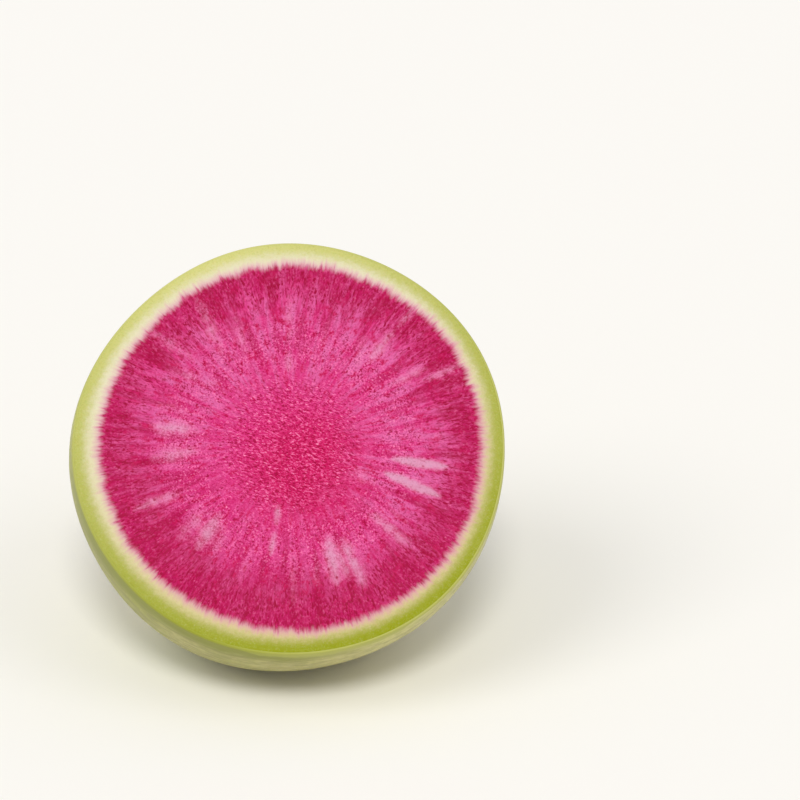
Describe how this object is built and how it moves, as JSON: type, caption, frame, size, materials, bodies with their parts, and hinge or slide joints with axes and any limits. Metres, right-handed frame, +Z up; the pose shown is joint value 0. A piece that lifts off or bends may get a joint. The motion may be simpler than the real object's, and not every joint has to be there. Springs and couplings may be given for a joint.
{
  "type": "watermelon radish half",
  "caption": "Root half of a round radish cut straight across, with pink flesh in a cream and green rim, pale green skin and a thin curved tap root, lying on its skin.",
  "frame": {"origin": "middle of the small flat spot on the skin that the half lies on", "axes": "+Z up; the cut face looks towards -Y and up, leaning back 44.3 degrees from level; the tap root leaves the far side and lies on the surface towards +Y"},
  "size_m": [0.0814, 0.0919, 0.0706],
  "materials": {
    "skin": "smooth thin skin, green by the cut and cream by the tap root, satin",
    "flesh": "moist cut flesh, crimson to pink with pale rays, cream and green ring at the edge",
    "rootlets": "dry brown corky rootlets"
  },
  "bodies": {
    "root": {"radish_half": "skin"}
  },
  "joints": []
}
